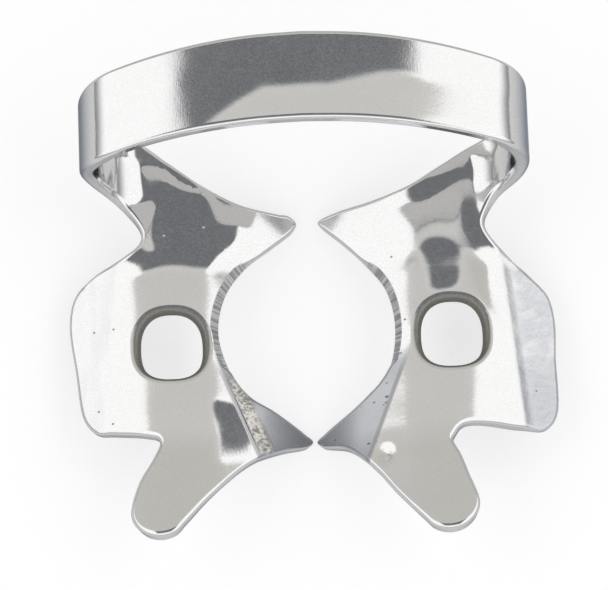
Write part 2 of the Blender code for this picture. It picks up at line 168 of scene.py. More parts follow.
def middleOfSheet(s, t):
    past = -beyondLine(jaw["wingCrease"], s, t)
    tooth = -rollDrop(jaw["ridgeX"] - s, jaw["toothRoll"], jaw["toothSlope"])
    flatter = math.tan(math.radians(jaw["wingSlope"])) - math.tan(math.radians(jaw["wingFlat"]))
    wing = -rollDrop(s - jaw["ridgeX"], jaw["wingRoll"], jaw["wingSlope"])
    wing = wing + softRamp(past, jaw["creaseRound"]) * flatter
    bowX, bowZ = bowProfile(s)
    share = smoothStep(*jaw["footBlend"], t)
    onTooth = s < jaw["ridgeX"]
    x = np.where(onTooth, s, s + (bowX - s) * share)
    z = np.where(onTooth, tooth, wing + (bowZ - wing) * share)
    z = z - t * math.tan(math.radians(jaw["tilt"]))
    z = z + softRamp(t - jaw["backBend"], jaw["backRound"]) * math.tan(math.radians(jaw["backTilt"]))
    z = z - softRamp(t - jaw["bowBend"], jaw["backRound"]) * math.tan(math.radians(jaw["bowTilt"]))
    z = z + softRamp(jaw["lobeBend"] - t, jaw["lobeRound"]) * math.tan(math.radians(jaw["lobeTilt"]))
    facet = softRamp(beyondLine(jaw["facetCrease"], s, t), jaw["facetRound"])
    z = z - (1 - smoothStep(*jaw["facetFade"], t)) * facet * math.tan(math.radians(jaw["facetTilt"]))
    return np.stack([x, t, z], -1)


def thickness(s, t, onLeft):
    past = -beyondLine(jaw["wingCrease"], s, t)
    wing = np.where(onLeft, smoothStep(*sheet["leftStep"], past), smoothStep(*sheet["rightStep"], past))
    wing = wing * (1 - smoothStep(*jaw["footBlend"], t))
    tip = 1 - smoothStep(0, sheet["tipTaper"], s)
    thin = (sheet["thick"] - sheet["wingThick"]) * wing + (sheet["thick"] - sheet["tipThick"]) * tip
    return sheet["thick"] - thin


def bend(q, t, w):
    # carries flat points to their places
    step = fineness["slopeStep"]
    s = halfLength - np.abs(q)
    along = middleOfSheet(s + step, t) - middleOfSheet(s - step, t)
    across = middleOfSheet(s, t + step) - middleOfSheet(s, t - step)
    up = np.cross(along, across)
    up /= np.linalg.norm(up, axis=-1, keepdims=True)
    place = middleOfSheet(s, t) + up * (w * thickness(s, t, q < 0) / sheet["thick"])[..., None]
    place[..., 0] *= np.where(q < 0, -1, 1)
    return place


def bentNormals(flat, normals):
    # carries the flat faces' own directions along with the bend, so that reflections run smoothly
    step = fineness["slopeStep"]
    q, t, w = flat.T
    ways = [
        bend(q + step, t, w) - bend(q - step, t, w),
        bend(q, t + step, w) - bend(q, t - step, w),
        bend(q, t, w + step) - bend(q, t, w - step),
    ]
    sides = [np.cross(ways[1], ways[2]), np.cross(ways[2], ways[0]), np.cross(ways[0], ways[1])]
    turned = sum(side * normals[:, i:i + 1] for i, side in enumerate(sides))
    facing = np.sign(np.einsum("ij,ij->i", ways[0], sides[0]))
    turned *= facing[:, None]
    return turned / np.linalg.norm(turned, axis=1, keepdims=True)


def bowEdge(end, middleT, sweep):
    parts = fineness["bowParts"]
    runs = [(halfLength - end) * part / parts for part in range(parts + 1)]
    return [(halfLength - run, middleT - sweep * run * run) for run in runs]


def stepsFrom(point, steps):
    return [(point[0] + s, point[1] + t) for s, t in steps]


def jawOutline(side):
    # one half of the outline, from the top of the bow round the jaw and back, as (s, t)
    footX = bow["footX"]
    back = bowEdge(curlEnd, bow["front"] + bow["width"], bow["backSweep"])
    front = bowEdge((curlEnd + shoulderEnd) / 2, bow["front"], bow["frontSweep"])[::-1]
    tip, tipT = side["distalTip"]
    blunt = side["distalBlunt"]
    rise = side["footBack"] - tipT
    distal = stepsFrom((footX, side["footBack"]), lesser["footBack"])
    distal += [(footX - run, tipT + share * rise) for run, share in lesser["distalBack"]]
    distal += stepsFrom(side["distalTip"], lesser["distal"])
    distal += [(tip + blunt * s, tipT + blunt * t) for s, t in lesser["blunting"]]
    mouth = stepsFrom(side["distalTip"], lesser["distalFront"]) + stepsFrom(side["bite"], lesser["bite"])
    mouth += stepsFrom(side["biteFront"], lesser["biteFront"])
    mouth += stepsFrom(side["mesialTip"], lesser["mesial"])
    (lobe, lobeT), radius = side["lobe"], side["lobeRadius"]
    turns = [math.radians(turn) for turn in lesser["lobeTurns"]]
    frontEdge = [*stepsFrom(side["mesialTip"], lesser["mesialFront"]), side["frontMiddle"], side["flank"]]
    frontEdge += [(lobe + radius * math.cos(turn), lobeT + radius * math.sin(turn)) for turn in turns]
    frontEdge += stepsFrom(side["lobe"], lesser["lobeBack"])
    frontEdge += stepsFrom(side["frontNotch"], lesser["frontNotch"])
    reach, taper = side["wingReach"], side["wingTaper"]
    wingFront, wingRise, wingBack = side["wingFront"], side["wingRise"], side["wingBack"]
    notch, notchT = side["notch"]
    wing = [
        (side["frontNotch"][0] + lesser["wingStart"], wingFront),
        (reach - lesser["wingRun"], wingFront + lesser["wingShare"] * wingRise),
        *stepsFrom((reach - taper, wingFront + wingRise), lesser["corner"]),
        (reach - taper * lesser["sideShare"], lesser["sideT"]),
        *stepsFrom((reach, wingBack), lesser["wingBack"]),
        *stepsFrom(((reach + notch) / 2, (wingBack + notchT) / 2), lesser["shoulder"]),
        *stepsFrom(side["notch"], lesser["notch"]),
        *stepsFrom((footX, side["footFront"]), lesser["footFront"]),
    ]
    return smoothCurve(back + distal + mouth + frontEdge + wing + front)


def smoothCurve(points):
    # a centripetal curve through the points, kept as fine as its turns and the edge step need
    knots = np.array([points[0], *points, points[-1]], float)
    dense = [knots[0]]
    for a, b, c, d in zip(knots, knots[1:], knots[2:], knots[3:]):
        first, pull, last = (math.sqrt(math.dist(m, n)) for m, n in ((a, b), (b, c), (c, d)))
        leave = knotSlope(a, b, c, first, pull) * pull
        reach = knotSlope(b, c, d, pull, last) * pull
        for part in range(1, fineness["spanParts"] + 1):
            u = part / fineness["spanParts"]
            near = (2 * u - 3) * u * u
            dense.append((1 + near) * b - near * c + u * (1 - u) * ((1 - u) * leave - u * reach))
    kept = [dense[0]]
    turned = run = 0.0
    for before, here, after in zip(dense, dense[1:], dense[2:]):
        first = math.atan2(*(here - before)[::-1])
        second = math.atan2(*(after - here)[::-1])
        turned += abs((second - first + math.pi) % math.tau - math.pi)
        run += math.dist(before, here)
        if turned > math.radians(fineness["edgeTurn"]) or run > fineness["edgeStep"]:
            kept.append(here)
            turned = run = 0.0
    if math.dist(kept[-1], dense[-1]) < fineness["lastStep"] * fineness["edgeStep"]:
        kept.pop()
    return [tuple(point) for point in kept + [dense[-1]]]


def knotSlope(before, here, after, first, second):
    if first == 0:
        return (after - here) / second
    if second == 0:
        return (here - before) / first
    return (here - before) / first - (after - before) / (first + second) + (after - here) / second


def wholeOutline():
    rightSide = [(halfLength - s, t) for s, t in jawOutline(right)]
    leftSide = [(s - halfLength, t) for s, t in jawOutline(left)]
    return np.array(leftSide + rightSide[-2:0:-1])


def holeOutline(side):
    turns = -math.tau * np.arange(hole["sides"]) / hole["sides"]
    c, k = np.cos(turns), np.sin(turns)
    reach = (np.abs(c) ** hole["square"] + np.abs(k) ** hole["square"]) ** (-1 / hole["square"])
    middleS, middleT = side["hole"]
    q = side["sign"] * (halfLength - middleS) + hole["width"] / 2 * reach * c
    return np.stack([q, middleT + hole["length"] / 2 * reach * k], -1)


def edgeWidths(loop, widest):
    # room for the rounded edge: less where the outline turns sharply outwards
    before, after = np.roll(loop, 1, 0), np.roll(loop, -1, 0)
    first, second = loop - before, after - loop
    cross = first[:, 0] * second[:, 1] - first[:, 1] * second[:, 0]
    sides = np.prod([np.linalg.norm(v, axis=1) for v in (first, second, after - before)], 0)
    room = np.where(cross > 1e-9, fineness["tipRoom"] * sides / (2 * np.maximum(cross, 1e-9)), widest)
    widths = np.minimum(widest, room)
    steps = np.linalg.norm(second, axis=1)
    for way in (1, -1):
        run = np.zeros(len(loop))
        reached = np.arange(len(loop))
        while run.min() < fineness["tipReach"]:
            run += steps[reached if way > 0 else (reached - 1) % len(loop)]
            reached = (reached + way) % len(loop)
            widths = np.minimum(widths, room[reached] + fineness["tipFlank"] * run)
    return widths


def inwardWays(loop):
    first = loop - np.roll(loop, 1, 0)
    second = np.roll(loop, -1, 0) - loop
    first /= np.linalg.norm(first, axis=1, keepdims=True)
    second /= np.linalg.norm(second, axis=1, keepdims=True)
    mean = first + second
    mean /= np.linalg.norm(mean, axis=1, keepdims=True)
    ways = np.stack([-mean[:, 1], mean[:, 0]], -1)
    return ways, 1 / np.maximum(0.5, np.einsum("ij,ij->i", mean, first))


# Across an edge: share of the width moved in, share of the drop still to climb, and the
# direction faced there as (outwards, up), once for a rounded edge and once for a ground bevel
edgeTurns = np.radians([0, 18, 36, 54, 72, 90])
edgeOut, edgeUp = np.cos(edgeTurns), np.sin(edgeTurns)
roundEdge = np.stack([1 - edgeOut, 1 - edgeUp, edgeOut, edgeUp], -1)
bevelEdge = np.array([
    [0.00, 1.00, 1.00, 0.00], [0.02, 0.93, 0.86, 0.51], [0.06, 0.88, 0.46, 0.89],
    [0.50, 0.47, 0.46, 0.89], [0.95, 0.05, 0.46, 0.89], [1.04, 0.00, 0.00, 1.00],
])


def rimRings(loop, lowerWidth, upperWidth, upperDrop, bevel):
    # rings of points and directions from the lower face round the wall to the upper face
    ways, reach = inwardWays(loop)
    half = sheet["thick"] / 2
    rings = []
    for inset, drop, out, up in roundEdge[::-1]:
        place = loop + ways * (reach * lowerWidth * inset)[:, None]
        rings.append((place, -half + lowerWidth * drop, -ways * out, np.full(len(loop), -up)))
    for plain, ground in zip(roundEdge, bevelEdge):
        inset, drop, out, up = (plain[i] + (ground[i] - plain[i]) * bevel for i in range(4))
        place = loop + ways * (reach * upperWidth * inset)[:, None]
        rings.append((place, half - upperDrop * drop, -ways * out[:, None], up))
    points = [np.column_stack([place, height]) for place, height, side, up in rings]
    faces = [np.column_stack([side, up]) for place, height, side, up in rings]
    return points, faces


def insideLoop(points, loop):
    x, y = points[:, :1], points[:, 1:]
    ax, ay = loop[:, 0], loop[:, 1]
    bx, by = np.roll(ax, -1), np.roll(ay, -1)
    crosses = (ay > y) != (by > y)
    with np.errstate(divide="ignore", invalid="ignore"):
        at = ax + (y - ay) * (bx - ax) / (by - ay)
    return (crosses & (x < at)).sum(1) % 2 == 1


def insideSheet(points, loops):
    kept = insideLoop(points, loops[0])
    for loop in loops[1:]:
        kept &= ~insideLoop(points, loop)
    return kept


# Rows of points kept along each crease: its line, the rows' distances past it, and its reach
creaseRows = [
    (jaw["facetCrease"], np.linspace(-0.16, 0.16, 5), (0, 1.1)),
    (jaw["wingCrease"], np.linspace(-0.32, 0.64, 9), (-0.3, 1.16)),
]


def gridPoints(loops):
    # staggered points over the face, kept a little clear of the rims, with rows along the creases
    step = fineness["grid"]
    rowStep = step * fineness["rowShare"]
    low, high = loops[0].min(0), loops[0].max(0)
    rows = []
    for row in range(int((high[1] - low[1]) / rowStep) + 1):
        x = np.arange(low[0] + step * (0.5 * (row % 2)), high[0], step)
        rows.append(np.column_stack([x, np.full(len(x), low[1] + row * step * fineness["rowShare"])]))
    points = np.concatenate(rows)
    clear = fineness["creaseClear"]
    for line, shifts, reach in creaseRows:
        (ax, at), (bx, bt) = line
        across = np.array([bt - at, bx - ax]) / math.hypot(bx - ax, bt - at)
        start, end = np.array([halfLength - ax, at]), np.array([halfLength - bx, bt])
        share = np.arange(reach[0], reach[1], fineness["creaseStep"] / math.dist(start, end))[:, None]
        crease = np.concatenate([start + (end - start) * share + across * shift for shift in shifts])
        for sign in (-1, 1):
            past = -beyondLine(line, halfLength - sign * points[:, 0], points[:, 1])
            along = (points[:, 1] - at) / (bt - at)
            near = (past > shifts[0] - clear) & (past < shifts[-1] + clear)
            near &= (points[:, 0] * sign > 0) & (along > reach[0]) & (along < reach[1])
            points = np.concatenate([points[~near], crease * (sign, 1)])
    points = points[insideSheet(points, loops)]
    tree = KDTree(sum(len(loop) for loop in loops))
    for i, point in enumerate(np.concatenate(loops)):
        tree.insert((*point, 0), i)
    tree.balance()
    apart = fineness["rimClear"] * step
    return points[np.array([tree.find((*point, 0))[2] > apart for point in points])]


def fillFace(loops):
    # triangles between the rings of one face; the rings' points come first, in their own order
    rims = np.concatenate(loops)
    inner = gridPoints(loops)
    coords = np.concatenate([rims, inner])
    edges = []
    start = 0
    for loop in loops:
        edges += [(start + i, start + (i + 1) % len(loop)) for i in range(len(loop))]
        start += len(loop)
    corners = [Vector(c) for c in coords]
    _, _, faces, origins, _, _ = delaunay_2d_cdt(corners, edges, [], 0, fineness["weld"])
    origin = np.array([ids[0] if ids else -1 for ids in origins])
    triangles = origin[np.array([list(face) for face in faces])]
    triangles = triangles[(triangles >= 0).all(1)]
    middles = coords[triangles].mean(1)
    return inner, triangles[insideSheet(middles, loops)]


# The ground edge of the bite: how far past it still counts, and its fading at the front and back
groundEdge = dict(past=0.2, frontFade=0.5, backFade=1.2, dropMost=0.4)


def bevelShare(loop, side):
    # one along the ground edge of the bite between the two prongs, nothing elsewhere
    q, t = side["sign"] * loop[:, 0], loop[:, 1]
    low, high = side["bevelSpan"]
    onMouth = (q > 0) & (halfLength - q < side["bite"][0] + groundEdge["past"])
    begun = smoothStep(low - groundEdge["frontFade"], low, t)
    return onMouth * begun * (1 - smoothStep(high, high + groundEdge["backFade"], t))


# How the polished faces differ from the plain bend, in millimetres and degrees. A swelling is its
# side, middle (s, t), half widths and height. Where the upper face leans a little, a lean gives its
# sides, reach in s and t, softness, degrees outwards and back, and how far its reach in t moves for
# each millimetre of s; it turns only the reflections. The bow's outer face leans forwards above a
# border line, given as (q, distance from the bow's middle), and back below it, up to its shoulders.
relief = dict(
    liftMost=0.08, waver=0.14, waverTurns=(1.7, 2.3), bowLean=(-0.6, 3.5), borderSoft=0.35,
    shoulderFade=3,
    bowBorder=[
        (-6.4, -3.0), (-5.4, -2.5), (-4.4, -1.9), (-3.2, -1.2), (-1.9, -0.6), (0, -0.6), (1.4, -0.6),
        (2.4, -0.3), (4.0, 0.14), (5.2, 0.35),
    ],
    swellings=[
        (1, (3.75, -6.75), (0.30, 0.36), -0.09),
    ],
    leans=[
        ((-1, 1), (3.0, 9.6), (-6.4, -1.2), 1.0, 5.5, 0, 0),
        ((-1,), (3.6, 6.6), (8.1, 16.0), 0.5, 15.0, 0, -0.82),
        ((-1,), (-1.0, 10.0), (3.8, 12.0), 0.5, 0, -4.0, 0),
        ((-1,), (4.4, 9.4), (4.6, 12.0), 0.9, 0, -5.0, 0.35),
        ((-1,), (3.2, 5.1), (5.7, 6.9), 0.35, 0, 10.0, 0.1),
        ((-1,), (3.0, 5.1), (-7.0, -3.7), 0.35, 9.0, -9.0, 0),
        ((1,), (5.2, 7.7), (3.4, 7.2), 0.5, 0, 5.0, 0),
        ((1,), (7.7, 9.4), (24.9, 27.6), 0.6, 0, 5.0, -2.7),
        ((1,), (-1.0, 4.9), (2.4, 9.0), 0.6, 0, -5.0, 0),
        ((1,), (4.4, 8.9), (4.95, 5.85), 0.3, 4.0, -12.0, 0.35),
        ((1,), (8.7, 10.4), (7.4, 9.2), 0.3, -9.0, -14.0, 0),
        ((1,), (6.1, 7.65), (2.0, 4.6), 0.40, 0, -8.5, 0),
        ((-1,), (7.8, 9.8), (4.7, 7.1), 0.3, 0, 13.0, 0),
        ((-1,), (4.6, 8.2), (5.0, 5.35), 0.25, 0, 11.0, 0.47),
        ((-1,), (4.8, 9.9), (5.45, 9.0), 0.2, 0, -13.0, 0.47),
        ((-1,), (8.4, 10.6), (7.3, 9.6), 0.3, -9.0, -14.0, 0),
    ],
)


def upperRelief(q, t):
    s = halfLength - np.abs(q)
    height = np.zeros(len(q))
    for sign, (middleS, middleT), (wideS, wideT), rise in relief["swellings"]:
        away = ((s - middleS) / wideS) ** 2 + ((t - middleT) / wideT) ** 2
        height += (q * sign > 0) * rise * np.exp(-away)
    return height


def lowerLean(q, t):
    middle = bow["front"] + bow["width"] / 2 - (bow["frontSweep"] + bow["backSweep"]) / 2 * q * q
    border = np.interp(q, *zip(*relief["bowBorder"]))
    start, change = relief["bowLean"]
    lean = np.radians(start - change * np.tanh((t - middle - border) / relief["borderSoft"]))
    end = halfLength - curlEnd
    fade = 1 - smoothStep(end, end + relief["shoulderFade"], np.abs(q))
    return np.column_stack([0 * q, lean * fade, 0 * q])


def upperLean(q, t):
    turns = relief["waverTurns"]
    s = halfLength - np.abs(q) + relief["waver"] * np.sin(turns[0] * t + q)
    wavyT = t + relief["waver"] * np.sin(turns[1] * q + t)
    outward, back = np.zeros(len(q)), np.zeros(len(q))
    for sides, (fromS, toS), (fromT, toT), soft, outwards, backwards, slant in relief["leans"]:
        along = wavyT - slant * s
        share = np.isin(np.sign(q), sides) * smoothStep(fromS - soft, fromS + soft, s)
        share = share * (1 - smoothStep(toS - soft, toS + soft, s))
        share = share * smoothStep(fromT - soft, fromT + soft, along)
        share = share * (1 - smoothStep(toT - soft, toT + soft, along))
        outward += share * math.radians(outwards)
        back += share * math.radians(backwards)
    return np.column_stack([-np.sign(q) * outward, back, 0 * q])


def addRelief(flat, ways):
    # lifts the upper face by its relief and turns both faces' directions
    q, t, w = flat.T
    step = fineness["slopeStep"]
    slopeQ = (upperRelief(q + step, t) - upperRelief(q - step, t)) / (2 * step)
    slopeT = (upperRelief(q, t + step) - upperRelief(q, t - step)) / (2 * step)
    upper = np.clip(0.5 + w / sheet["thick"], 0, 1)
    facing = np.abs(ways[:, 2])
    turned = (upperLean(q, t) - np.column_stack([slopeQ, slopeT, 0 * q])) * (upper * facing)[:, None]
    ways = ways + turned + lowerLean(q, t) * ((1 - upper) * facing)[:, None]
    lift = relief["liftMost"] * np.tanh(upperRelief(q, t) / relief["liftMost"])
    flat = flat + np.column_stack([0 * q, 0 * q, upper * lift])
    return flat, ways / np.linalg.norm(ways, axis=1, keepdims=True)


def makeClampMesh():
    outline = wholeOutline()
    loops = [outline, holeOutline(left), holeOutline(right)]
    points, normals, faces, zones = [], [], [], []
    lowRings, highRings, lowIds, highIds = [], [], [], []
    start = 0
    for number, loop in enumerate(loops):
        edge = edgeWidths(loop, sheet["edgeRound"])
        bevel = np.zeros(len(loop))
        if number == 0:
            bevel = np.maximum(bevelShare(loop, left), bevelShare(loop, right))
            wide = np.where(loop[:, 0] < 0, left["bevelWidth"], right["bevelWidth"])
            upper = edge + (wide - edge) * bevel
        else:
            upper = np.full(len(loop), hole["rimRound"])
        drop = np.where(bevel > 0, edge, np.minimum(upper, sheet["thick"] * groundEdge["dropMost"]))
        rings, ways = rimRings(loop, edge, upper, drop, bevel)
        count = len(loop)
        walk = np.cumsum(np.linalg.norm(loop - np.roll(loop, 1, 0), axis=1))
        for k, (ring, way) in enumerate(zip(rings, ways)):
            points.append(ring)
            normals.append(way)
            wall = np.full(count, float(number > 0 and 0 < k < len(rings) - 2))
            onBevel = len(rings) // 2 < k < len(rings) - 1
            zones.append(np.column_stack([wall, bevel * onBevel, walk]))
            if k:
                i = np.arange(count)
                low = start + (k - 1) * count
                nextI = (i + 1) % count
                corners = [low + i, low + nextI, low + count + nextI, low + count + i]
                faces += np.column_stack(corners).tolist()
        lowRings.append(rings[0][:, :2])
        highRings.append(rings[-1][:, :2])
        lowIds.append(start + np.arange(count))
        highIds.append(start + (len(rings) - 1) * count + np.arange(count))
        start += count * len(rings)
    half = sheet["thick"] / 2
    for rims, ids, height in ((lowRings, lowIds, -half), (highRings, highIds, half)):
        inner, triangles = fillFace(rims)
        names = np.concatenate([*ids, start + np.arange(len(inner))])
        triangles = names[triangles]
        if height < 0:
            triangles = triangles[:, ::-1]
        faces += triangles.tolist()
        points.append(np.column_stack([inner, np.full(len(inner), height)]))
        normals.append(np.tile((0, 0, np.sign(height)), (len(inner), 1)))
        zones.append(np.zeros((len(inner), 3)))
        start += len(inner)
    flat, ways = addRelief(np.concatenate(points), np.concatenate(normals))
    print("flat sheet:", len(flat), "points,", len(faces), "faces")
    faces = [face[::-1] for face in faces]
    return flat, bend(*flat.T), bentNormals(flat, ways), faces, np.concatenate(zones)


def placeInBox(place):
    # stands the clamp where the solid stands, and keeps it inside the solid's box
    low, high = (np.array(corner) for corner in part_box("clamp"))
    own = place.max(0) - place.min(0)
    scale = min(1.0, *((high - low) / (own * mm)))
    place = (place - (place.max(0) + place.min(0)) / 2) * mm * scale
    place[:, 2] -= place[:, 2].min()
    return place + ((low[0] + high[0]) / 2, (low[1] + high[1]) / 2, low[2]), scale


flat, place, ways, faces, zones = makeClampMesh()
place, scale = placeInBox(place)
mesh = bpy.data.meshes.new("steelClamp")
mesh.from_pydata(place.tolist(), [], faces)
mesh.shade_smooth()
mesh.normals_split_custom_set_from_vertices(ways.tolist())
for name, values in (("blank", flat), ("zone", zones)):
    layer = mesh.attributes.new(name, "FLOAT_VECTOR", "POINT")
    layer.data.foreach_set("vector", values.astype(np.float32).ravel())
clamp = bpy.data.objects.new("steelClamp", mesh)
bpy.context.scene.collection.objects.link(clamp)
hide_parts("clamp")
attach(clamp, "root")
print("clamp bent, scale", round(scale, 5), "faces", len(mesh.polygons))


class Wire:
    # one socket, so that shader maths can be written as plain expressions
    def __init__(self, tree, socket):
        self.tree = tree
        self.socket = socket

    def joined(self, operation, first, second=0.0):
        return addNode(self.tree, "ShaderNodeMath", dict(operation=operation), {0: first, 1: second})

    def __add__(self, other):
        return self.joined("ADD", self, other)

    def __sub__(self, other):
        return self.joined("SUBTRACT", self, other)

    def __mul__(self, other):
        return self.joined("MULTIPLY", self, other)

    def __rsub__(self, other):
        return self.joined("SUBTRACT", other, self)

    __radd__ = __add__
    __rmul__ = __mul__


def addNode(tree, kind, settings, values, output=0):
    node = tree.nodes.new(kind)
    for name, value in settings.items():
        setattr(node, name, value)
    for name, value in values.items():
        if isinstance(value, Wire):
            tree.links.new(value.socket, node.inputs[name])
        else:
            node.inputs[name].default_value = value
    return Wire(tree, node.outputs[output] if node.outputs else None)


def step(tree, value, at, soft):
    # a smooth change from nothing to one round a value
    ends = {"Value": value, "From Min": at - soft, "From Max": at + soft}
    return addNode(tree, "ShaderNodeMapRange", dict(interpolation_type="SMOOTHSTEP"), ends)


def mix(tree, share, first, second):
    values = {"Factor": share, 6: first, 7: second}
    return addNode(tree, "ShaderNodeMix", dict(data_type="RGBA"), values, 2)


# Polished steel, the marks on it and the shade painted into it; places and sizes are in the flat sheet's
# millimetres
steelLook = dict(
    colour=(0.84, 0.835, 0.825, 1), grainColour=(0.82, 0.815, 0.805, 1),
    # the hole walls' colour is painted shade: a dark reflection laid into the steel
    paintedWallShadeColour=(0.30, 0.29, 0.26, 1), groundColour=(0.42, 0.42, 0.42, 1),
    # the two facet colours are the facets' duller ground tone, with painted shade on the left and painted
    # light on the right
    facetLitAndShadedColours=((0.44, 0.45, 0.47, 1), (0.60, 0.61, 0.64, 1)), pitColour=(0.22, 0.22, 0.22, 1),
    # the crease colour is painted shade along the facet creases
    stripColours=((0.30, 0.29, 0.27, 1), (0.84, 0.82, 0.76, 1)), paintedCreaseShadeColour=(0.36, 0.36, 0.37, 1),
    frostColour=(0.68, 0.69, 0.715, 1), lowFrostColour=(0.60, 0.61, 0.64, 1),
    # the two side colours are painted shade on the bow's outer sides, darker on the left
    paintedSideShadeColours=((0.36, 0.375, 0.41, 1), (0.47, 0.485, 0.52, 1)), grazingTint=(0.48, 0.51, 0.57, 1),
    lowFrost=0.85, smear=0.45, creaseShade=0.8, pitShade=0.75, haze=0.10, hazeLeast=0.4,
    roughness=0.10, mottle=0.08, wallRoughness=0.42, facetRoughness=0.16, frostRoughness=0.16,
    groundRoughness=0.20, stripRoughness=0.15, wave=0.035, streak=0.0010, speckle=0.0008,
    dapple=0.0012, frost=0.02, ground=0.05, wallGrain=0.03, stripRelief=0.06, pit=0.03,
)

# Where each mark or painted shade begins or ends, as (place, softness), across and along the sheet
area = dict(
    rightHalf=(0, 0.02), upperFace=(0.3, 0.05), outerFace=(-0.2, 0.1),
    wingEdge=(-0.15, 0.1), wingBack=(5.2, 0.6), lowWing=(-2.1, 0.7),
    facetEdge=(0.0, 0.06), facetBack=(-1.3, 0.5), facetSoonerOnRight=0.12,
    creaseFrom=(-0.13, 0.06), creaseTo=(0.05, 0.05), creaseBack=(-1.9, 0.6),
    stripFrom=(0.05, 0.05), stripTo=(0.75, 0.15), stripFront=(-6.3, 0.2), stripBack=(-2.4, 0.4),
    bowSideFrom=(9.6, 0.8), bowSideTo=(14.2, 0.9),
)

# Textures as (scale, detail, stretch); those in cells have a scale and a (size, softness), and
# those that show only in patches the level, with its softness, from which they show
texture = dict(
    grain=(9.0, 2.0), grainFrom=(0.5, 0.2), frost=(2.4, 4.0), frostPatch=(0.9, 5.0),
    frostFrom=(0.45, 0.16), smear=(0.9, 3.0, (1.0, 0.25, 1.0)), smearFrom=(0.55, 0.12),
    hatch=(1.0, 3.0), hatchFrom=(0.5, 0.1), hatchAlong=7.0, hatchAcross=0.8,
    gouges=(6.0, 4.0), gougesFrom=(0.44, 0.14), haze=(11.0, 2.0), hazeFrom=(0.5, 0.16),
    hazeDrift=(0.9, 4.0), blotch=(0.5, 3.0), wave=(0.3, 1.0), speckle=(9.0, 2.0),
    streak=(3.0, 5.0, (6.0, 1.0, 1.0)), dapple=(4.0, 3.0), wallGrain=(5.0, 4.0),
    pits=(0.9, (0.04, 0.02)), pitPatch=(0.45, 2.0), pitsFrom=(0.47, 0.05),
    facetPits=(2.2, (0.14, 0.06)), crowd=(0.8, 1.0), crowdFrom=(0.52, 0.06),
)


def noise(tree, place, scale, detail=2.0, stretch=(1, 1, 1)):
    stretched = addNode(tree, "ShaderNodeVectorMath", dict(operation="MULTIPLY"), {0: place, 1: stretch})
    values = {"Vector": stretched, "Scale": scale, "Detail": detail}
    return addNode(tree, "ShaderNodeTexNoise", {}, values)


def dots(tree, place, scale, size):
    cells = addNode(tree, "ShaderNodeTexVoronoi", {}, {"Vector": place, "Scale": scale})
    return 1 - step(tree, cells, *size)


